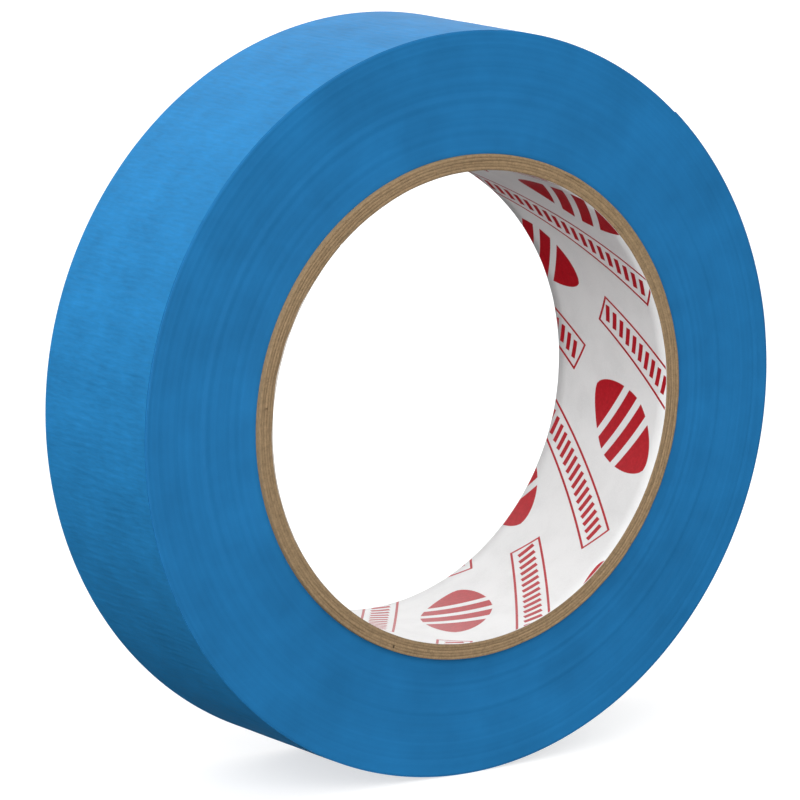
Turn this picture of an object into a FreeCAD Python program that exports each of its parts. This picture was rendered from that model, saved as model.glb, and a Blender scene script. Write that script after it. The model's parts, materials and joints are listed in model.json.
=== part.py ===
import FreeCAD, Part
import Sketcher
import os

# A roll of masking tape, standing on its rim.
#
# Frame: the origin is on the roll's axis, half way along the width of the wound tape. The axis is
# Y, with the roll's front on the -Y side, and Z is up. Angles go from +X towards +Z, which is
# anticlockwise as seen from the front.
#
# The core is a spirally wound paperboard tube: a printed paper liner in the bore, and plies of
# core board round it, each a strip with a butt seam that runs slantwise across its width. One long
# web of tape is wound on the core, each turn a little further back than the one inside it, so the
# roll is slightly dished. The first and last turns are nodes of their own, with the other turns as
# one solid between them. The last turn has its crepe backing outside and its adhesive
# inside. The free end of the tape is a chain of short strips, each hinged to the one before it on
# a line along the tape's outer face, so that the end can be lifted and peeled back.
#
# The outside of the wound tape is a spiral drawn with four centres: each quarter turn is an arc,
# its radius a quarter of the tape's thickness more than the last one's, and neighbouring arcs are
# tangent to each other.

SIZES = [
    # alias, value, what it is (millimetres and degrees)
    ("bore_radius", 38.1, "bore for a 3 inch spindle"),
    ("liner_thickness", 0.1, "printed paper liner"),
    ("ply_thickness", 0.48, "one ply of core board"),
    ("ply_count", 5, "plies of core board"),
    ("core_proud", 1.0, "how far the core stands out of the tape round it at the front"),
    ("ply_seam", 0.15, "gap at the butt seam of a ply"),
    ("liner_seam", 0.5, "gap at the butt seam of the liner"),
    ("seam_slant", 36.0, "angle between the seams and the roll's axis"),
    ("liner_seam_at", 150.0, "where the liner's seam crosses the middle of the width"),
    ("ply_seam_at", 46.0, "where the innermost ply's seam crosses it"),
    ("ply_seam_turn", 73.0, "from one ply's seam to the next one's"),
    ("tape_width", 30.0, "width of the tape"),
    ("backing_thickness", 0.095, "crepe paper backing"),
    ("adhesive_thickness", 0.03, "adhesive under the backing"),
    ("turn_count", 156, "turns of tape"),
    ("dish", 1.0, "how far the first turn lies forward of the last one"),
    ("start_at", 200.0, "where the tape's inner end lies"),
    ("start_gap", 1.2, "gap that the second turn bridges at the inner end"),
    ("end_at", 47.0, "where the tape's outer end lies"),
    ("strip_count", 8, "strips in the free end"),
    ("strip_arc", 5.2, "angle that one strip spans"),
    ("strip_gap", 0.04, "slit between neighbouring strips"),
    ("end_lift", 0.04, "clearance under the free end"),
]

DERIVED = [
    ("core_width", "=tape_width", "length of the core, which is slit together with the tape"),
    ("core_back", "=core_width - tape_width / 2 - dish - core_proud", "y of the core's back end"),
    ("core_radius", "=bore_radius + liner_thickness + ply_count * ply_thickness", "core outside"),
    ("tape_thickness", "=backing_thickness + adhesive_thickness", "backing and adhesive"),
    ("wound_radius", "=core_radius + (turn_count - 1) * tape_thickness", "under the last turn"),
    ("creep", "=tape_thickness / 4", "growth of the spiral in each quarter turn"),
    ("centre_offset", "=creep / sqrt(2)", "distance of the four centres from the axis"),
    ("end_radius", "=wound_radius + 3 * creep + end_lift", "under the free end"),
    ("end_arc", "=strip_count * strip_arc", "angle that the free end spans"),
    ("slit_arc", "=strip_gap / end_radius * 180 / pi", "angle that one slit spans"),
    ("start_arc", "=start_gap / core_radius * 180 / pi", "angle that the bridged gap spans"),
]

QUARTERS = range(4)
FIRST_CENTRE_AT = 135  # degrees from the tape's outer end to the first quarter's centre

doc = FreeCAD.newDocument("masking_tape_roll")
sub_parts = []


def fill_sheet():
    """Write the driving dimensions, and the sizes worked out from them, to the spreadsheet."""
    sheet = doc.addObject("Spreadsheet::Sheet", "Sizes")
    for row, (alias, value, note) in enumerate(SIZES + DERIVED, 1):
        sheet.set(f"A{row}", alias)
        sheet.set(f"B{row}", str(value))
        sheet.set(f"C{row}", note)
        sheet.setAlias(f"B{row}", alias)
    doc.recompute()
    return sheet


sizes = fill_sheet()


def bind(thing, **formulas):
    """Tie an object's properties to formulas; a double underscore stands for a dot in a name."""
    for name, formula in formulas.items():
        thing.setExpression(name.replace("__", "."), formula)


def keep(thing, label):
    """Make an object one of the sub-parts that are written out, under this name."""
    thing.Label = label
    sub_parts.append(thing)


# ---------------------------------------------------------------------------------- the core


def sketch_on(body, role, name):
    """An empty sketch on one of the body's own origin planes."""
    sketch = body.newObject("Sketcher::SketchObject", name)
    plane = next(f for f in body.Origin.OriginFeatures if f.Role == role)
    sketch.AttachmentSupport = [(plane, "")]
    sketch.MapMode = "FlatFace"
    return sketch


def draw_ring(sketch, inner, outer):
    """Two circles about the axis, whose radii are formulas."""
    origin, up = FreeCAD.Vector(0, 0, 0), FreeCAD.Vector(0, 0, 1)
    for formula, first_guess in ((inner, sizes.bore_radius), (outer, sizes.core_radius)):
        circle = sketch.addGeometry(Part.Circle(origin, up, first_guess))
        sketch.addConstraint(Sketcher.Constraint("Coincident", circle, 3, -1, 1))
        radius = sketch.addConstraint(Sketcher.Constraint("Radius", circle, first_guess))
        sketch.setExpression(f"Constraints[{radius}]", formula)


def draw_slit(sketch, gap):
    """A rectangle centred on the sketch's origin, long enough to pass both ends of the core."""
    half_gap, half_length = sizes.ply_seam / 2, 1.5 * sizes.core_width
    corners = [
        FreeCAD.Vector(sx * half_gap, sy * half_length, 0)
        for sx, sy in ((-1, -1), (1, -1), (1, 1), (-1, 1))
    ]
    sides = [
        sketch.addGeometry(Part.LineSegment(corners[i], corners[(i + 1) % 4])) for i in range(4)
    ]
    bottom, right, top, left = sides
    for i in range(4):
        sketch.addConstraint(Sketcher.Constraint("Coincident", sides[i], 2, sides[(i + 1) % 4], 1))
    for side in (bottom, top):
        sketch.addConstraint(Sketcher.Constraint("Horizontal", side))
    for side in (left, right):
        sketch.addConstraint(Sketcher.Constraint("Vertical", side))
    sketch.addConstraint(Sketcher.Constraint("Symmetric", bottom, 1, top, 1, -1, 1))
    width = sketch.addConstraint(Sketcher.Constraint("DistanceX", bottom, 1, bottom, 2, 2 * half_gap))
    length = sketch.addConstraint(
        Sketcher.Constraint("DistanceY", right, 1, right, 2, 2 * half_length)
    )
    sketch.setExpression(f"Constraints[{width}]", gap)
    sketch.setExpression(f"Constraints[{length}]", "3 * Sizes.core_width")


def core_layer(label, inner, outer, gap, seam_at):
    """One layer of the core: a ring as long as the core, slit slantwise along its seam.

    The seam is cut at the top of the ring, and the layer is then turned about the axis.
    """
    body = doc.addObject("PartDesign::Body", label)
    ring = sketch_on(body, "XZ_Plane", label + "_ring")
    bind(ring, AttachmentOffset__Base__z="-Sizes.core_back")
    draw_ring(ring, inner, outer)
    tube = body.newObject("PartDesign::Pad", label + "_tube")
    tube.Profile = ring
    bind(tube, Length="Sizes.core_width")
    slit = sketch_on(body, "XY_Plane", label + "_slit")
    slit.AttachmentOffset = FreeCAD.Placement(
        FreeCAD.Vector(0, 0, 0), FreeCAD.Rotation(FreeCAD.Vector(0, 0, 1), 1)
    )
    bind(slit, AttachmentOffset__Rotation__Angle="Sizes.seam_slant")
    draw_slit(slit, gap)
    doc.recompute()
    whole = tube.Shape.Volume
    seam = body.newObject("PartDesign::Pocket", label + "_seam")
    seam.Profile = slit
    seam.Reversed = True
    bind(seam, Length="2 * Sizes.core_radius")
    body.Placement = FreeCAD.Placement(
        FreeCAD.Vector(0, 0, 0), FreeCAD.Rotation(FreeCAD.Vector(0, -1, 0), 1)
    )
    bind(body, Placement__Rotation__Angle=f"{seam_at} - 90")
    doc.recompute()
    if not seam.Shape.Volume < whole:
        raise ValueError(f"the seam of {label} cuts nothing")
    keep(body, label)


def make_core():
    core_layer(
        "core_liner",
        "Sizes.bore_radius",
        "Sizes.bore_radius + Sizes.liner_thickness",
        "Sizes.liner_seam",
        "Sizes.liner_seam_at",
    )
    for i in range(int(sizes.ply_count)):
        inner = f"Sizes.bore_radius + Sizes.liner_thickness + {i} * Sizes.ply_thickness"
        core_layer(
            f"core_ply_{i + 1}",
            inner,
            f"{inner} + Sizes.ply_thickness",
            "Sizes.ply_seam",
            f"mod(Sizes.ply_seam_at + {i} * Sizes.ply_seam_turn; 360)",
        )


# ---------------------------------------------------------------------------------- the tape
#
# The tape is made lying flat, with its axis on Z and its front face up, and each finished
# sub-part is then stood upright.


def sector(name, radius, start="0", arc="360", quarter=None, height="Sizes.tape_width"):
    """A disc as thick as the tape is wide, or a slice of one, whose sizes are formulas.

    It is centred on the axis, or on the centre of one of the spiral's quarters.
    """
    disc = doc.addObject("Part::Cylinder", name)
    disc.Placement.Rotation = FreeCAD.Rotation(FreeCAD.Vector(0, 0, 1), 1)
    bind(disc, Radius=radius, Height=height, Angle=arc)
    bind(disc, Placement__Rotation__Angle=start)
    if quarter is not None:
        centre_at = f"(Sizes.end_at + {FIRST_CENTRE_AT + 90 * quarter}) * 1 deg"
        bind(
            disc,
            Placement__Base__x=f"Sizes.centre_offset * cos({centre_at})",
            Placement__Base__y=f"Sizes.centre_offset * sin({centre_at})",
        )
    return disc


def dish_cone(name, height):
    """A low cone, as high as the roll is dished, that stands at this height above the back.

    It stops a few turns short of the outermost one, which lie in line with each other.
    """
    cone = doc.addObject("Part::Cone", name)
    bind(
        cone,
        Radius1="Sizes.wound_radius - 4 * Sizes.tape_thickness",
        Radius2="Sizes.core_radius",
        Height="Sizes.dish",
        Placement__Base__z=height,
    )
    return cone


def cut(name, base, tool):
    result = doc.addObject("Part::Cut", name)
    result.Base = base
    result.Tool = tool
    return result


def fuse(name, *shapes):
    result = doc.addObject("Part::MultiFuse", name)
    result.Shapes = list(shapes)
    return result


def spiral(name, radius):
    """Everything inside one turn of the spiral, which starts at this radius at the tape's end."""
    quarters = [
        sector(
            f"{name}_quarter_{k + 1}",
            f"{radius} + {k} * Sizes.creep",
            f"Sizes.end_at + {90 * k}",
            "90",
            quarter=k,
        )
        for k in QUARTERS
    ]
    return fuse(name, *quarters)


def stand_up(thing, label, back="Sizes.tape_width / 2"):
    """Turn a finished sub-part of the tape upright, with its underside at this y."""
    thing.Placement.Rotation = FreeCAD.Rotation(FreeCAD.Vector(1, 0, 0), 90)
    bind(thing, Placement__Base__y=back)
    keep(thing, label)


def make_inner_turns():
    """The first turn, open where the second one bridges the tape's inner end, and the others."""
    second_turn = "Sizes.core_radius + Sizes.tape_thickness"
    first_turn = cut(
        "first_turn",
        sector(
            "first_turn_outside",
            second_turn,
            "Sizes.start_at + Sizes.start_arc / 2",
            "360 - Sizes.start_arc",
        ),
        sector("core_seat", "Sizes.core_radius"),
    )
    stand_up(first_turn, "tape_first_turn", "Sizes.tape_width / 2 - Sizes.dish")
    turns = cut(
        "turns",
        fuse(
            "turns_filled",
            spiral("turns_outside", "Sizes.wound_radius"),
            dish_cone("front_bulge", "Sizes.tape_width"),
        ),
        fuse(
            "turns_hollow",
            dish_cone("back_hollow", "0"),
            sector("turns_inside", second_turn, height="Sizes.tape_width + Sizes.dish"),
        ),
    )
    stand_up(turns, "tape_wound")


def last_turn_layer(label, inner, outer):
    """One layer of the last turn, as far as the line where the free end starts to lift."""
    full_turn = cut(label + "_turn", spiral(label + "_outside", outer), spiral(label + "_inside", inner))
    free = sector(
        label + "_free",
        f"{outer} + 1",
        "Sizes.end_at - Sizes.end_arc - Sizes.slit_arc / 2",
        "Sizes.end_arc + Sizes.slit_arc / 2",
        quarter=QUARTERS[-1],
    )
    stand_up(cut(label + "_stuck", full_turn, free), label)


def strip_layer(label, index, inner, outer):
    """One layer of one strip of the free end, an arc about the last quarter's centre."""
    span = (
        f"Sizes.end_at - Sizes.end_arc + {index} * Sizes.strip_arc + Sizes.slit_arc / 2",
        "Sizes.strip_arc - Sizes.slit_arc",
    )
    layer = cut(
        label + "_layer",
        sector(label + "_outside", outer, *span, quarter=QUARTERS[-1]),
        sector(label + "_inside", inner, quarter=QUARTERS[-1]),
    )
    stand_up(layer, label)


def make_last_turn():
    """The last turn's two layers, and the same two layers in each strip of the free end."""
    layers = {
        "adhesive": ("", " + Sizes.adhesive_thickness"),
        "backing": (" + Sizes.adhesive_thickness", " + Sizes.tape_thickness"),
    }
    for name, (inside, outside) in layers.items():
        last_turn_layer(
            f"outer_turn_{name}", "Sizes.wound_radius" + inside, "Sizes.wound_radius" + outside
        )
        for i in range(int(sizes.strip_count)):
            strip_layer(
                f"tail_{name}_{i + 1}", i, "Sizes.end_radius" + inside, "Sizes.end_radius" + outside
            )


def check_all():
    """Stop unless every object of the document has been worked out and every sub-part is sound."""
    for thing in doc.Objects:
        if "Invalid" in thing.State or "Error" in thing.State:
            raise ValueError(f"{thing.Label} could not be worked out: {thing.State}")
    for thing in sub_parts:
        if thing.Shape.isNull() or not thing.Shape.isValid() or not thing.Shape.Solids:
            raise ValueError(f"{thing.Label} has no sound solid")


def write_parts():
    os.makedirs("parts", exist_ok=True)
    for thing in sub_parts:
        thing.Shape.exportStep(f"parts/{thing.Label}.step")


make_core()
make_inner_turns()
make_last_turn()
doc.recompute()
check_all()
write_parts()
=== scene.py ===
import json
import math

import bpy
import numpy as np
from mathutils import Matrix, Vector


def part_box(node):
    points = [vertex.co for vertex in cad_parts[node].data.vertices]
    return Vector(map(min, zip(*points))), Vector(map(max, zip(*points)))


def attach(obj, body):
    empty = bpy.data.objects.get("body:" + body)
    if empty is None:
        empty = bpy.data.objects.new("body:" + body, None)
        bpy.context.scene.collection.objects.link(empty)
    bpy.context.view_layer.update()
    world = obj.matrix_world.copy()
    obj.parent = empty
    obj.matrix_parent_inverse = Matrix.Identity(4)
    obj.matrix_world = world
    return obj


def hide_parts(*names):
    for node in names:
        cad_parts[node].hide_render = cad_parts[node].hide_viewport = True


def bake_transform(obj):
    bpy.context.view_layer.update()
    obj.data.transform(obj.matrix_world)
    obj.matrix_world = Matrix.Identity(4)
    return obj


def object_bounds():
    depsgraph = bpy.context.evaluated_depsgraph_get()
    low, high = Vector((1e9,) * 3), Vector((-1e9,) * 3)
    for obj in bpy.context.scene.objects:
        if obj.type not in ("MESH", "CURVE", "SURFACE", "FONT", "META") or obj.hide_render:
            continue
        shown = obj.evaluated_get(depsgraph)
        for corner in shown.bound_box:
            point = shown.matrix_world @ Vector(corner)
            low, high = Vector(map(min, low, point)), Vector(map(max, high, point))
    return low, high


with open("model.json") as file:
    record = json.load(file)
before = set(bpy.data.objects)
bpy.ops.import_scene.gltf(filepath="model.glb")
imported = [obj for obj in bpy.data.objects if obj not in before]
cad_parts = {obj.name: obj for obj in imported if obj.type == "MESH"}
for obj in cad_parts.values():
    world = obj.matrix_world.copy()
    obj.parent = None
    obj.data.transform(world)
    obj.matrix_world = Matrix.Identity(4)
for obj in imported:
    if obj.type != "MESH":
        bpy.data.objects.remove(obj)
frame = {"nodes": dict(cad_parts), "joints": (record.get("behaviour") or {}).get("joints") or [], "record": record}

# A roll of masking tape that stands on its rim. Lengths are in millimetres until a mesh is made.
# Angles go from +X towards +Z, anticlockwise as seen from the front (-Y), as in the CAD model.

cad_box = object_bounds()
MM = 0.001
TURN = 2 * math.pi

# ------------------------------------------------------------------ sizes, from the frame

mounts = {mount["name"]: mount for mount in frame["record"]["mounts"]}


def outer_radius(node):
    """Half a round node's extent along X, in millimetres."""
    low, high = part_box(node)
    return (high.x - low.x) / 2 / MM


def pivot(joint):
    """(angle, radius) of a hinge of the free end, round the roll's axis."""
    x, _, z = joint["pos_m"]
    return math.atan2(z, x), math.hypot(x, z) / MM


BORE = mounts["core_bore"]["dims"]["r_mm"]
PLIES = sorted(name for name in frame["nodes"] if name.startswith("core_ply_"))
CORE = outer_radius(PLIES[-1])
CORE_FRONT, CORE_BACK = (corner.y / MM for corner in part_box("core_liner"))
TAPE_FRONT, TAPE_BACK = (corner.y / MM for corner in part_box("outer_turn_backing"))
WIDTH = TAPE_BACK - TAPE_FRONT
DISH = TAPE_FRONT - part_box("tape_first_turn")[0].y / MM

# The tape's own thicknesses and the free end's clearance, as in the CAD model.
BACKING = 0.095
ADHESIVE = 0.03
TAPE = BACKING + ADHESIVE
END_LIFT = 0.04

HINGES = [pivot(joint) for joint in frame["joints"]]
PEEL_AT, PEEL_RADIUS = HINGES[0]
STRIP = HINGES[1][0] - HINGES[0][0]
END_AT = PEEL_AT + STRIP * len(HINGES)

# The core's seams, as in the CAD model.
SEAM_SLANT = math.radians(36)
LINER_SEAM = 0.5
LINER_SEAM_AT = math.radians(150)
PLY_SEAM = 0.15
PLY_SEAMS_AT = [math.radians(46 + 73 * i) for i in range(len(PLIES))]


def turn_radius(angle):
    """Outer face of the last turn: a spiral that gains one tape thickness in a turn."""
    return PEEL_RADIUS - END_LIFT + TAPE * (angle - PEEL_AT) / TURN


# ------------------------------------------------------------------ meshes


def at(angle, radius, y):
    """Points in metres from cylinder coordinates in millimetres."""
    angle, radius, y = np.broadcast_arrays(angle, radius, y)
    return np.stack([radius * np.cos(angle), y, radius * np.sin(angle)], -1) * MM


def grid_faces(rows, columns, close_rows=False, close_columns=False):
    """Quads between the neighbouring points of a grid, which may close on itself either way."""
    r = np.arange(rows if close_rows else rows - 1)
    c = np.arange(columns if close_columns else columns - 1)
    r, c = np.meshgrid(r, c, indexing="ij")
    r2, c2 = (r + 1) % rows, (c + 1) % columns
    corners = [r * columns + c, r2 * columns + c, r2 * columns + c2, r * columns + c2]
    return np.stack(corners, -1).reshape(-1, 4)


def new_piece(name, points, faces, material, uv=None, sharp=40):
    """A mesh object from point and face arrays, smooth but for edges sharper than this angle."""
    mesh = bpy.data.meshes.new(name)
    mesh.from_pydata(points.reshape(-1, 3).tolist(), [], [list(face) for face in faces])
    mesh.validate()
    if uv is not None:
        layer = mesh.uv_layers.new(name="mm")
        index = np.zeros(len(mesh.loops), int)
        mesh.loops.foreach_get("vertex_index", index)
        layer.data.foreach_set("uv", uv.reshape(-1, 2)[index].ravel())
    mesh.shade_smooth()
    mesh.set_sharp_from_angle(angle=math.radians(sharp))
    mesh.materials.append(material)
    piece = bpy.data.objects.new(name, mesh)
    bpy.context.scene.collection.objects.link(piece)
    return piece


def with_caps(faces, rows, columns):
    """Close both ends of a tube whose rows are its loops."""
    start = list(range(columns))
    end = [(rows - 1) * columns + c for c in reversed(range(columns))]
    return [list(face) for face in faces] + [start, end]


def smooth_noise(seed, shape, sizes, band=0.0):
    """Random hills over a grid that closes on itself, with standard deviation 1.

    sizes are the hills' lengths in grid steps. With band, longer waves along the first side are
    held back, which leaves ridges.
    """
    white = np.random.default_rng(seed).standard_normal(shape)
    waves = [np.fft.fftfreq(n) * size for n, size in zip(shape, sizes)]
    u, v = np.meshgrid(*waves, indexing="ij")
    keep = np.exp(-2 * math.pi * (u * u + v * v))
    if band:
        keep *= 1 - np.exp(-((u / band) ** 2))
    field = np.fft.ifft2(np.fft.fft2(white) * keep).real
    return field / field.std()


# ------------------------------------------------------------------ materials


def new_material(name, base, roughness, **values):
    """A Principled material; values are set on the shader's own sockets."""
    material = bpy.data.materials.new(name)
    material.use_nodes = True
    shader = material.node_tree.nodes["Principled BSDF"]
    shader.inputs["Base Color"].default_value = (*base, 1)
    shader.inputs["Roughness"].default_value = roughness
    for socket, value in values.items():
        shader.inputs[socket.replace("_", " ")].default_value = value
    return material


def node(material, kind, inputs=None, **settings):
    """A new node; inputs maps a socket's name or number to a value or to another node's output."""
    made = material.node_tree.nodes.new(kind)
    for name, value in settings.items():
        setattr(made, name, value)
    for socket, value in (inputs or {}).items():
        if isinstance(value, bpy.types.NodeSocket):
            material.node_tree.links.new(value, made.inputs[socket])
        else:
            made.inputs[socket].default_value = value
    return made


def maths(material, operation, *values):
    """The output of one Math node."""
    return node(material, "ShaderNodeMath", dict(enumerate(values)), operation=operation).outputs[0]


def mixed(material, first, share, second):
    """Two greys added together, the first with this share and the second with the rest."""
    remainder = maths(material, "MULTIPLY", second, 1 - share)
    return maths(material, "MULTIPLY_ADD", first, share, remainder)


def feed(material, socket, value):
    """Join a node's output to one of the material's own sockets."""
    material.node_tree.links.new(value, material.node_tree.nodes["Principled BSDF"].inputs[socket])


def noise(material, vector, scale, detail=3, roughness=0.55, distortion=0.0):
    """The grey output of a noise texture."""
    inputs = {
        "Vector": vector,
        "Scale": scale,
        "Detail": detail,
        "Roughness": roughness,
        "Distortion": distortion,
    }
    return node(material, "ShaderNodeTexNoise", inputs).outputs["Fac"]


def stretched(material, vector, x=1.0, y=1.0, z=1.0):
    """A vector scaled by different amounts along its axes."""
    inputs = {0: vector, 1: (x, y, z)}
    made = node(material, "ShaderNodeVectorMath", inputs, operation="MULTIPLY")
    return made.outputs["Vector"]


def shades(material, grey, *stops):
    """Colours along a ramp; each stop is (place, (red, green, blue))."""
    ramp = node(material, "ShaderNodeValToRGB", {"Fac": grey})
    while len(ramp.color_ramp.elements) < len(stops):
        ramp.color_ramp.elements.new(0.5)
    for element, (place, colour) in zip(ramp.color_ramp.elements, stops):
        element.position = place
        element.color = (*colour, 1)
    return ramp.outputs["Color"]


def bump(material, height, strength, depth):
    """Relief by shading only, from a grey height; depth is in millimetres."""
    inputs = {"Height": height, "Strength": strength, "Distance": depth * MM}
    feed(material, "Normal", node(material, "ShaderNodeBump", inputs).outputs["Normal"])


def in_mm(material):
    """The mesh's own layout, in millimetres along and across the tape."""
    return node(material, "ShaderNodeUVMap", uv_map="mm").outputs["UV"]


def in_place(material):
    """Object coordinates, in millimetres."""
    coordinates = node(material, "ShaderNodeTexCoord").outputs["Object"]
    return stretched(material, coordinates, 1 / MM, 1 / MM, 1 / MM)


def tint(colour, factor):
    """A colour made lighter or darker."""
    return tuple(min(1.0, c * factor) for c in colour)


CREPE_BLUE = (0.021, 0.222, 0.515)
EDGE_BLUE = (0.0115, 0.129, 0.312)


def crepe_material(name, blue):
    """Crepe paper: short wrinkles across the tape, mottled dye and a dull waxy finish."""
    material = new_material(name, blue, 0.62, Specular_IOR_Level=0.12)
    layout = in_mm(material)
    wrinkles = noise(material, stretched(material, layout, 2.4, 0.35), 1.0, 4, 0.6)
    fibres = noise(material, stretched(material, layout, 5.0, 2.2), 1.0, 3, 0.6)
    mottle = noise(material, stretched(material, layout, 0.16, 0.12), 1.0, 3, 0.6)
    mix = mixed(material, wrinkles, 0.5, mottle)
    stops = (0.30, tint(blue, 0.80)), (0.50, blue), (0.72, tint(blue, 1.22))
    feed(material, "Base Color", shades(material, mix, *stops))
    feed(material, "Roughness", maths(material, "MULTIPLY_ADD", wrinkles, 0.25, 0.52))
    bump(material, mixed(material, wrinkles, 0.7, fibres), 0.30, 0.06)
    return material


def edge_material():
    """The roll's faces: the edges of all the turns side by side, in rings one tape apart."""
    material = new_material("tape_edges", EDGE_BLUE, 0.6, Specular_IOR_Level=0.1)
    place = in_place(material)
    parts = node(material, "ShaderNodeSeparateXYZ", {0: place}).outputs
    squares = [maths(material, "MULTIPLY", parts[axis], parts[axis]) for axis in "XZ"]
    radius = maths(material, "SQRT", maths(material, "ADD", *squares))
    blotches = noise(material, place, 0.09, 4, 0.6)
    wobble = maths(material, "MULTIPLY_ADD", noise(material, place, 0.3, 2), 0.3, radius)
    rings = maths(material, "SINE", maths(material, "MULTIPLY", wobble, TURN / TAPE))
    outwards = node(material, "ShaderNodeCombineXYZ", {0: wobble}).outputs[0]
    bands = noise(material, outwards, 0.9, 4, 0.7)
    mix = mixed(material, blotches, 0.6, bands)
    stops = (0.32, tint(EDGE_BLUE, 0.84)), (0.50, EDGE_BLUE), (0.68, tint(EDGE_BLUE, 1.16))
    feed(material, "Base Color", shades(material, mix, *stops))
    height = maths(material, "MULTIPLY_ADD", rings, 0.25, maths(material, "MULTIPLY", bands, 1.5))
    bump(material, height, 0.3, 0.05)
    return material


BOARD = (0.235, 0.161, 0.090)


def board_material(name, factor):
    """Core board: brown chipboard with fibres and flecks."""
    base = tint(BOARD, factor)
    material = new_material(name, base, 0.88, Specular_IOR_Level=0.2)
    place = in_place(material)
    fibres = noise(material, stretched(material, place, 1.2, 3.0, 1.2), 1.0, 5, 0.7)
    flecks = noise(material, place, 4.5, 2, 0.5)
    mix = mixed(material, fibres, 0.6, flecks)
    stops = (0.30, tint(base, 0.62)), (0.48, base), (0.66, tint(base, 1.28))
    feed(material, "Base Color", shades(material, mix, *stops))
    bump(material, mix, 0.5, 0.15)
    return material


LINER_WHITE = (0.715, 0.72, 0.72)


def liner_material():
    """The liner: coated white paper, a little cloudy, with a faint grain."""
    material = new_material("liner_paper", LINER_WHITE, 0.42, Specular_IOR_Level=0.4)
    place = in_place(material)
    cloud = noise(material, place, 0.12, 3, 0.6)
    grain = noise(material, place, 3.5, 3, 0.6)
    mix = mixed(material, cloud, 0.7, grain)
    stops = (0.30, tint(LINER_WHITE, 0.90)), (0.52, LINER_WHITE), (0.75, tint(LINER_WHITE, 1.05))
    feed(material, "Base Color", shades(material, mix, *stops))
    bump(material, grain, 0.2, 0.04)
    return material


INK_RED = (0.42, 0.006, 0.014)
THIN_INK_RED = (0.47, 0.02, 0.032)


def ink_material():
    """Red flexo ink, a little uneven where the paper shows through it."""
    material = new_material("liner_ink", INK_RED, 0.45, Specular_IOR_Level=0.4)
    place = in_place(material)
    patchy = noise(material, place, 1.6, 4, 0.7)
    stops = (0.34, tint(INK_RED, 0.80)), (0.55, INK_RED), (0.80, THIN_INK_RED)
    feed(material, "Base Color", shades(material, patchy, *stops))
    bump(material, patchy, 0.15, 0.03)
    return material


MILKY_BLUE = (0.16, 0.33, 0.50)


def adhesive_material():
    """Tacky rubber adhesive, a little milky over the blue paper, with streaks along the tape."""
    material = new_material(
        "tape_adhesive", MILKY_BLUE, 0.3, Specular_IOR_Level=0.5, Coat_Weight=0.3
    )
    layout = in_mm(material)
    streaks = noise(material, stretched(material, layout, 0.5, 2.5), 1.0, 4, 0.6)
    stops = (0.30, tint(MILKY_BLUE, 0.85)), (0.50, MILKY_BLUE), (0.75, tint(MILKY_BLUE, 1.2))
    feed(material, "Base Color", shades(material, streaks, *stops))
    bump(material, streaks, 0.3, 0.05)
    return material


# ------------------------------------------------------------------ the core


def paint(piece, material, chosen):
    """Give the chosen faces, a boolean for each face, a material of their own."""
    piece.data.materials.append(material)
    slots = np.zeros(len(chosen), np.int32)
    piece.data.polygons.foreach_get("material_index", slots)
    slots[chosen] = len(piece.data.materials) - 1
    piece.data.polygons.foreach_set("material_index", slots)


def steep(piece, least):
    """Which faces look along the roll's axis at least this much."""
    normals = np.zeros(3 * len(piece.data.polygons))
    piece.data.polygons.foreach_get("normal", normals)
    return np.abs(normals[1::3]) > least


AROUND_CORE, ALONG_CORE = 480, 13
BROKEN_CORNER = 0.05
LINER_RAGGED, PLY_RAGGED = 0.02, 0.045


def core_tube(name, inner, outer, gap, seam_at, material, ragged, seed):
    """One layer of the core: a strip bent round the bore, whose butt seam runs slantwise.

    Its cut ends are a little ragged, and their corners are broken.
    """
    broken = min(BROKEN_CORNER, (outer - inner) / 4)
    middle = (inner + outer) / 2
    wall_y = np.linspace(CORE_FRONT + broken, CORE_BACK - broken, ALONG_CORE)
    section = [(outer, y) for y in wall_y]
    section += [(outer - broken, CORE_BACK), (inner + broken, CORE_BACK)]
    section += [(inner, y) for y in reversed(wall_y)]
    section += [(inner + broken, CORE_FRONT), (outer - broken, CORE_FRONT)]
    radius, y = np.array(section).T
    share = np.linspace(0, 1, AROUND_CORE)[:, None]
    half_gap = gap / math.cos(SEAM_SLANT) / 2 / middle
    seam = seam_at + y * math.tan(SEAM_SLANT) / middle
    angle = seam + half_gap + share * (TURN - 2 * half_gap)
    fine = smooth_noise(seed, (AROUND_CORE, 2), (4, 1))
    coarse = smooth_noise(seed + 1, (AROUND_CORE, 2), (24, 1))
    front_fuzz, back_fuzz = np.hsplit(ragged * (fine + coarse), 2)
    y = y + np.where(y < CORE_FRONT + 2 * broken, front_fuzz, 0)
    y = y + np.where(y > CORE_BACK - 2 * broken, back_fuzz, 0)
    points = at(angle, radius, y)
    faces = grid_faces(AROUND_CORE, len(section), close_columns=True)
    faces = with_caps(faces, AROUND_CORE, len(section))
    return new_piece(name, points, faces, material, sharp=50)


def make_liner():
    """The liner, whose cut ends show brown paper."""
    outer = outer_radius("core_liner")
    paper = liner_material()
    liner = core_tube("liner", BORE, outer, LINER_SEAM, LINER_SEAM_AT, paper, LINER_RAGGED, 11)
    paint(liner, board_material("liner_cut_edge", 0.9), steep(liner, 0.5))
    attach(liner, "roll")
    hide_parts("core_liner")


def make_plies():
    """The plies of board, each a little lighter or darker than its neighbours."""
    tones = (1.0, 0.9, 1.06, 0.94, 1.0)
    inner = outer_radius("core_liner")
    for i, ply in enumerate(PLIES):
        outer = outer_radius(ply)
        board = board_material(f"core_board_{i + 1}", tones[i % len(tones)])
        name, seam_at, seed = f"ply_{i + 1}", PLY_SEAMS_AT[i], 20 + 3 * i
        piece = core_tube(name, inner, outer, PLY_SEAM, seam_at, board, PLY_RAGGED, seed)
        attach(piece, "roll")
        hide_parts(ply)
        inner = outer


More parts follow.
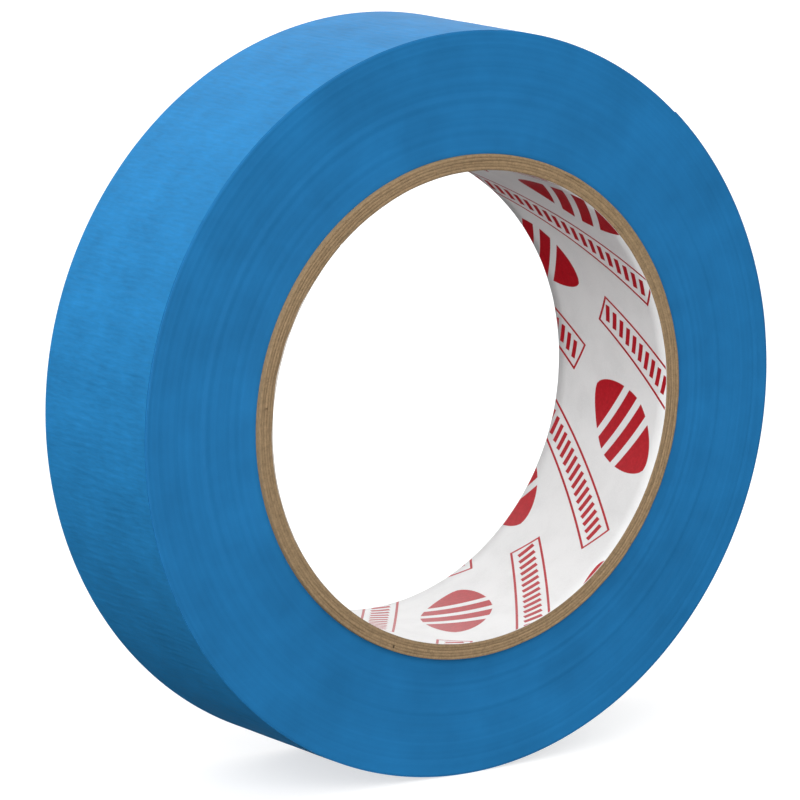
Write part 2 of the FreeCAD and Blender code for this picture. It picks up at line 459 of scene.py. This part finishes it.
# ------------------------------------------------------------------ the liner's print
#
# The print is laid out on the flat strip, in millimetres along it and across it, and wrapped into
# the bore. Rows run along the strip: a lozenge, then a long frame filled with slanted bars, and so
# on. Each row starts further along than the one before it.

ROW_PITCH = 12.7
ROW_SHIFT = 31.9
REPEAT = 74.2
FIRST_ALONG, FIRST_ACROSS = -10.2, -3.4
LOZENGE_LONG, LOZENGE_WIDE = 20.5, 12.0
LOZENGE_POWER = 1.6
LOZENGE_BANDS = ((-1, -0.44), (-0.30, -0.07), (0.07, 0.30), (0.44, 1))
LOZENGE_POINTS = 40
FRAME_WIDE = 5.4
FRAME_MARGIN = 16.5
LINE = 0.42
BAR_PITCH, BAR_WIDE = 1.9, 1.0
BAR_REACH, BAR_LEAN = 1.5, 0.5
FIRST_BAR, LAST_BAR = 1.8, 1.2
INK_STEP = 0.25
INK_LIFT = 0.012
INK_MARGIN = 0.15
STRIP_WIDE = TURN * BORE * math.cos(SEAM_SLANT)
STRIP_EDGE = LINER_SEAM_AT * BORE * math.cos(SEAM_SLANT)


class Ink:
    """Flat shapes cut into small quads, kept where they lie on the liner."""

    def __init__(self):
        self.points, self.faces, self.count = [], [], 0

    def add(self, along, across):
        """A grid of points on the flat strip, trimmed at the core's ends."""
        faces = grid_faces(*along.shape)
        y = along * math.cos(SEAM_SLANT) - across * math.sin(SEAM_SLANT)
        low, high = CORE_FRONT + INK_MARGIN, CORE_BACK - INK_MARGIN
        inside = (y > low) & (y < high)
        faces = faces[inside.ravel()[faces].any(1)]
        y = np.clip(y, low, high)
        arc = along * math.sin(SEAM_SLANT) + across * math.cos(SEAM_SLANT)
        self.points.append(at(arc / BORE, BORE - INK_LIFT, y).reshape(-1, 3))
        self.faces.append(faces + self.count)
        self.count += along.size

    def bar(self, start, end, wide):
        """A straight line of this width from start to end."""
        start, end = np.array(start, float), np.array(end, float)
        length = np.linalg.norm(end - start)
        direction = (end - start) / length
        side = np.array([-direction[1], direction[0]])
        lengthwise = np.linspace(0, length, max(2, int(length / INK_STEP) + 1))
        sideways = np.linspace(-wide / 2, wide / 2, max(2, int(wide / INK_STEP) + 1))
        a, b = np.meshgrid(lengthwise, sideways, indexing="ij")
        spots = start + a[..., None] * direction + b[..., None] * side
        self.add(spots[..., 0], spots[..., 1])

    def piece(self, name, material):
        """A mesh of all the shapes, without the points that no face uses."""
        points, faces = np.concatenate(self.points), np.concatenate(self.faces)
        used, faces = np.unique(faces, return_inverse=True)
        return new_piece(name, points[used], faces.reshape(-1, 4), material)


def lozenge(ink, along, across):
    """A rounded lozenge in four bands, with three stripes of bare paper between them.

    The bands start and end at shares of half the lozenge's length.
    """
    for start, end in LOZENGE_BANDS:
        place = np.linspace(start, end, int((end - start) * LOZENGE_POINTS) + 2)[:, None]
        narrowing = (1 - np.abs(place) ** LOZENGE_POWER).clip(1e-4) ** (1 / LOZENGE_POWER)
        half = LOZENGE_WIDE / 2 * narrowing
        spread = np.linspace(-1, 1, LOZENGE_POINTS)
        ink.add(*np.broadcast_arrays(along + place * LOZENGE_LONG / 2, across + half * spread))


def long_frame(ink, start, end, across):
    """A long outlined box with a row of short slanted bars in it."""
    low, high = across - FRAME_WIDE / 2, across + FRAME_WIDE / 2
    ink.bar((start, low), (end, low), LINE)
    ink.bar((start, high), (end, high), LINE)
    ink.bar((start, low - LINE / 2), (start, high + LINE / 2), LINE)
    ink.bar((end, low - LINE / 2), (end, high + LINE / 2), LINE)
    for spot in np.arange(start + FIRST_BAR, end - LAST_BAR, BAR_PITCH):
        foot, top = (spot - BAR_LEAN, across - BAR_REACH), (spot + BAR_LEAN, across + BAR_REACH)
        ink.bar(foot, top, BAR_WIDE)


def make_print():
    """All the rows that fit on the strip between its two edges."""
    material = ink_material()
    marks, frames = Ink(), Ink()
    reach = (CORE_BACK - CORE_FRONT) / math.cos(SEAM_SLANT) / 2 + REPEAT
    margin = LOZENGE_WIDE / 2 + LINER_SEAM
    first_row = math.ceil((STRIP_EDGE - STRIP_WIDE + margin - FIRST_ACROSS) / ROW_PITCH)
    last_row = math.floor((STRIP_EDGE - margin - FIRST_ACROSS) / ROW_PITCH)
    for row in range(first_row, last_row + 1):
        across = FIRST_ACROSS + row * ROW_PITCH
        middle = across * math.tan(SEAM_SLANT)
        first = FIRST_ALONG + row * ROW_SHIFT
        first += math.ceil((middle - reach - first) / REPEAT) * REPEAT
        for spot in np.arange(first, middle + reach, REPEAT):
            lozenge(marks, spot, across)
            long_frame(frames, spot + FRAME_MARGIN, spot + REPEAT - FRAME_MARGIN, across)
    for name, ink in (("print_marks", marks), ("print_frames", frames)):
        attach(ink.piece(name, material), "roll")


# ------------------------------------------------------------------ the tape

COLUMNS_PER_MM = 8
SPARSE_COLUMNS_PER_MM = 0.9
ROWS_PER_MM = 1.5
ACROSS_TAPE = int(WIDTH * ROWS_PER_MM) + 1

# The crepe's ridges and the longer swells in it: lengths along and across the tape, and heights.
RIDGE_SIZES, RIDGE_HEIGHT = (0.55, 3.0), 0.009
RIDGE_BAND = 0.5
SWELL_SIZES, SWELL_HEIGHT = (9.0, 7.0), 0.010
RELIEF_FADE = 0.15  # the power by which the relief dies away at the tape's edges
COVERED_RELIEF = 0.8  # the share of the relief that the turn under the last one has

# The roll's faces: rings and broader areas that lie back, a dip beside the core, and a soft rim.
FACE_RINGS, FACE_SPOKES = 110, 64
BAND_SIZES, BAND_HEIGHT = (3.0, 40.0), 0.022
WAVE_SIZES, WAVE_HEIGHT = (26.0, 14.0), 0.030
BACK_FACE_TURN = 40
CORE_DIP, CORE_DIP_WIDE = 0.12, 0.25
RIM, RIM_DROP = 0.35, 0.10

UNDERLAP = 0.02  # angle by which the close columns reach past the root of the free end
END_CURL = 0.70  # how high the back corner of the free end stands up


class Crepe:
    """The relief of one turn of crepe paper, sampled by angle and by place across the tape."""

    def __init__(self, seed):
        self.around = int(TURN * PEEL_RADIUS * COLUMNS_PER_MM)
        shape = self.around, ACROSS_TAPE
        ridge_steps, swell_steps = (
            (along * COLUMNS_PER_MM, across * ROWS_PER_MM)
            for along, across in (RIDGE_SIZES, SWELL_SIZES)
        )
        ridges = smooth_noise(seed, shape, ridge_steps, RIDGE_BAND)
        swells = smooth_noise(seed + 1, shape, swell_steps)
        self.field = RIDGE_HEIGHT * ridges + SWELL_HEIGHT * swells

    def height(self, angle, share):
        """Height at angles, and at shares of the width from 0 to 1, by linear interpolation."""
        a = np.mod(angle, TURN) / TURN * self.around
        b = np.clip(share, 0, 1) * (ACROSS_TAPE - 1)
        a, b = np.broadcast_arrays(a, b)
        i, j = np.floor(a).astype(int), np.minimum(np.floor(b).astype(int), ACROSS_TAPE - 2)
        fa, fb = a - i, b - j
        i, i2 = i % self.around, (i + 1) % self.around
        near = self.field[i, j] * (1 - fa) + self.field[i2, j] * fa
        far = self.field[i, j + 1] * (1 - fa) + self.field[i2, j + 1] * fa
        return near * (1 - fb) + far * fb


def columns(start, end, per_mm=COLUMNS_PER_MM):
    """Evenly spaced angles from start to end, this many to the millimetre."""
    count = max(3, int((end - start) * PEEL_RADIUS * per_mm))
    return np.linspace(start, end, count)


def web(name, angles, lift, crepe, backing, adhesive, edges):
    """A stretch of tape as a closed strip: crepe outside, adhesive inside, and its four edges."""
    share = np.linspace(0, 1, ACROSS_TAPE)
    y = TAPE_FRONT + RIM_DROP + share * (WIDTH - 2 * RIM_DROP)
    angle = angles[:, None]
    relief = crepe.height(angle, share) * np.sin(math.pi * share) ** RELIEF_FADE
    outside = turn_radius(angle) + lift + relief
    inside = np.broadcast_to(turn_radius(angle) + lift - TAPE, outside.shape)
    radius = np.concatenate([outside, inside[:, ::-1]], 1)
    wide = np.concatenate([y, y[::-1]])
    points = at(angle, radius, wide)
    uv = np.stack(np.broadcast_arrays(angle * PEEL_RADIUS, wide), -1)
    faces = grid_faces(len(angles), len(wide), close_columns=True)
    faces = with_caps(faces, len(angles), len(wide))
    piece = new_piece(name, points, faces, backing, uv, sharp=60)
    edge = ACROSS_TAPE - 1
    column = np.append(np.tile(np.arange(len(wide)), len(angles) - 1), [edge, edge])
    paint(piece, adhesive, column > edge)
    paint(piece, edges, column % ACROSS_TAPE == edge)
    return piece


def face_relief(angles):
    """How far the turns' edges lie back in a face: a row for each angle, a column for each ring."""
    shape = FACE_RINGS, FACE_SPOKES
    bands, waves = smooth_noise(5, shape, BAND_SIZES), smooth_noise(6, shape, WAVE_SIZES)
    relief = (BAND_HEIGHT * bands + WAVE_HEIGHT * waves).T
    spoke = np.mod(angles, TURN) / TURN * FACE_SPOKES
    low = np.floor(spoke).astype(int)
    part = (spoke - low)[:, None]
    return relief[low % FACE_SPOKES] * (1 - part) + relief[(low + 1) % FACE_SPOKES] * part


def make_wound(crepe, crepe_blue, edges):
    """All the turns under the last one, with the relief of their edges on both faces.

    The columns are close together only where the free end can show them.
    """
    under_tail = columns(PEEL_AT - UNDERLAP, END_AT)
    covered = columns(END_AT - TURN, PEEL_AT - UNDERLAP, SPARSE_COLUMNS_PER_MM)[:-1]
    angles = np.concatenate([covered, under_tail])
    angle = angles[:, None]
    outside = turn_radius(angle) - TAPE
    share = np.linspace(0, 1, FACE_RINGS)
    face_radius = CORE + share * (outside - CORE)
    rim = np.clip((face_radius - (outside - RIM)) / RIM, 0, 1) ** 2 * RIM_DROP
    dip = np.exp(-(face_radius - CORE) / CORE_DIP_WIDE) * CORE_DIP
    forward = DISH * (1 - share)
    relief = face_relief(angles)
    front = TAPE_FRONT - forward + rim + dip + relief
    back = TAPE_BACK - forward - rim - dip - np.roll(relief, BACK_FACE_TURN, 0)
    wide = np.linspace(0, 1, ACROSS_TAPE)[1:-1]
    wall_y = front[:, -1:] + wide * (back[:, -1:] - front[:, -1:])
    wall = outside + crepe.height(angle, wide) * COVERED_RELIEF
    radius = np.concatenate([face_radius, wall, face_radius[:, ::-1]], 1)
    y = np.concatenate([front, wall_y, back[:, ::-1]], 1)
    points = at(angle, radius, y)
    uv = np.stack([np.broadcast_to(angle * PEEL_RADIUS, y.shape), y], -1)
    total = radius.shape[1]
    faces = grid_faces(len(angles), total, close_rows=True, close_columns=True)
    piece = new_piece("wound_turns", points, faces, edges, uv, sharp=50)
    column = np.tile(np.arange(total), len(angles))
    paint(piece, crepe_blue, (column >= FACE_RINGS - 1) & (column < FACE_RINGS + len(wide)))
    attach(piece, "roll")
    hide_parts("tape_wound", "tape_first_turn")


def hinge_side(angle):
    """A point on the tape's outer face, in metres."""
    return Vector(at(angle, PEEL_RADIUS, 0.0))


def make_last_turn(crepe, *materials):
    """The last turn and its free end.

    The free end is cut in the middle of each strip. Only its last length goes with a strip's
    body, the last one; the other lengths are joined to no body. Its back corner curls up a
    little.
    """
    turn = web("last_turn", columns(END_AT - TURN, PEEL_AT), 0.0, crepe, *materials)
    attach(turn, "roll")
    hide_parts("outer_turn_backing", "outer_turn_adhesive")
    count = len(HINGES)
    cuts = [PEEL_AT] + [PEEL_AT + (i + 0.5) * STRIP for i in range(count)] + [END_AT]
    bodies = ["roll"] + [f"tail_{i + 1}" for i in range(count)]
    for i, (start, end) in enumerate(zip(cuts, cuts[1:])):
        angles = columns(start, end)
        lift = END_LIFT * np.clip((angles - PEEL_AT) / (0.5 * STRIP), 0, 1)[:, None]
        curl = END_CURL * np.clip((angles - END_AT) / STRIP + 1, 0, 1)[:, None] ** 2
        lift = lift + curl * np.linspace(0, 1, ACROSS_TAPE)
        length = web(f"free_end_{i + 1}", angles, lift, crepe, *materials)
        if i < count:
            hinge_side(start)
            hinge_side(end)
            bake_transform(length)
        else:
            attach(length, bodies[count])
        if i > 0:
            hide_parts(f"tail_backing_{i}", f"tail_adhesive_{i}")


# ------------------------------------------------------------------ the stage

CAMERA_AZIMUTH = math.radians(-34.12)
CAMERA_ELEVATION = math.radians(10.64)
CAMERA_DISTANCE = 930.0
CAMERA_RIGHT, CAMERA_UP = 2.25, 1.25
LENS, SENSOR = 259.6, 36


def make_camera():
    """A long lens at the photograph's angle, aimed a little beside the roll's axis."""
    a, e = CAMERA_AZIMUTH, CAMERA_ELEVATION
    back = Vector((math.sin(a) * math.cos(e), -math.cos(a) * math.cos(e), math.sin(e)))
    right = (-back).cross(Vector((0, 0, 1))).normalized()
    up = right.cross(-back)
    data = bpy.data.cameras.new("camera")
    data.lens, data.sensor_width = LENS, SENSOR
    data.clip_start, data.clip_end = 0.01, 20
    camera = bpy.data.objects.new("camera", data)
    place = back * CAMERA_DISTANCE - right * CAMERA_RIGHT - up * CAMERA_UP
    camera.location = place * MM
    camera.rotation_mode = "QUATERNION"
    camera.rotation_quaternion = (-back).to_track_quat("-Z", "Y")
    bpy.context.scene.collection.objects.link(camera)
    bpy.context.scene.camera = camera


def soft_light(name, towards, spread, level):
    """A broad far light in that direction; at level 1 a white surface that faces it looks white."""
    data = bpy.data.lights.new(name, "SUN")
    data.angle = math.radians(spread)
    data.energy = level * math.pi
    lamp = bpy.data.objects.new(name, data)
    lamp.rotation_mode = "QUATERNION"
    lamp.rotation_quaternion = Vector(towards).to_track_quat("Z", "Y")
    bpy.context.scene.collection.objects.link(lamp)


FLOOR = 6.0  # half the side of the floor, in metres
FLOOR_GREY, FLOOR_GLOW = 0.50, 0.65


def make_stage():
    """A white floor and world that light nothing, so that the lamps alone light the roll."""
    floor_z = cad_box[0].z
    corners = ((-FLOOR, -FLOOR), (FLOOR, -FLOOR), (FLOOR, FLOOR), (-FLOOR, FLOOR))
    material = new_material("floor", (FLOOR_GREY,) * 3, 0.9, Specular_IOR_Level=0.1)
    shader = material.node_tree.nodes["Principled BSDF"]
    shader.inputs["Emission Color"].default_value = (1, 1, 1, 1)
    shader.inputs["Emission Strength"].default_value = FLOOR_GLOW
    points = np.array([(x, y, floor_z) for x, y in corners])
    floor = new_piece("floor", points, [[0, 1, 2, 3]], material)
    floor.visible_diffuse = False
    floor.visible_glossy = False
    floor.visible_shadow = False
    world = bpy.data.worlds.new("studio")
    bpy.context.scene.world = world
    world.use_nodes = True
    background = world.node_tree.nodes["Background"]
    background.inputs["Color"].default_value = (1, 1, 1, 1)
    world.cycles_visibility.diffuse = False
    world.cycles_visibility.glossy = False
    soft_light("top", (0.0, 0.0, 1.0), 170, 0.40)
    soft_light("key", (-0.38, -0.35, 0.85), 80, 0.44)
    soft_light("fill", (-0.45, -0.82, 0.35), 60, 0.67)
    soft_light("low", (-0.60, -0.80, 0.0), 50, 0.18)
    soft_light("bounce", (-0.50, -0.75, -0.45), 60, 0.23)
    soft_light("back", (0.40, 0.88, 0.22), 70, 0.55)
    bpy.context.scene.view_settings.view_transform = "Standard"


def make_tape():
    """The wound turns, then the last turn and its free end."""
    crepe_blue = crepe_material("crepe_paper", CREPE_BLUE)
    edges = edge_material()
    make_wound(Crepe(seed=40), crepe_blue, edges)
    make_last_turn(Crepe(seed=50), crepe_blue, adhesive_material(), edges)


make_liner()
make_plies()
make_print()
make_tape()
make_stage()
make_camera()
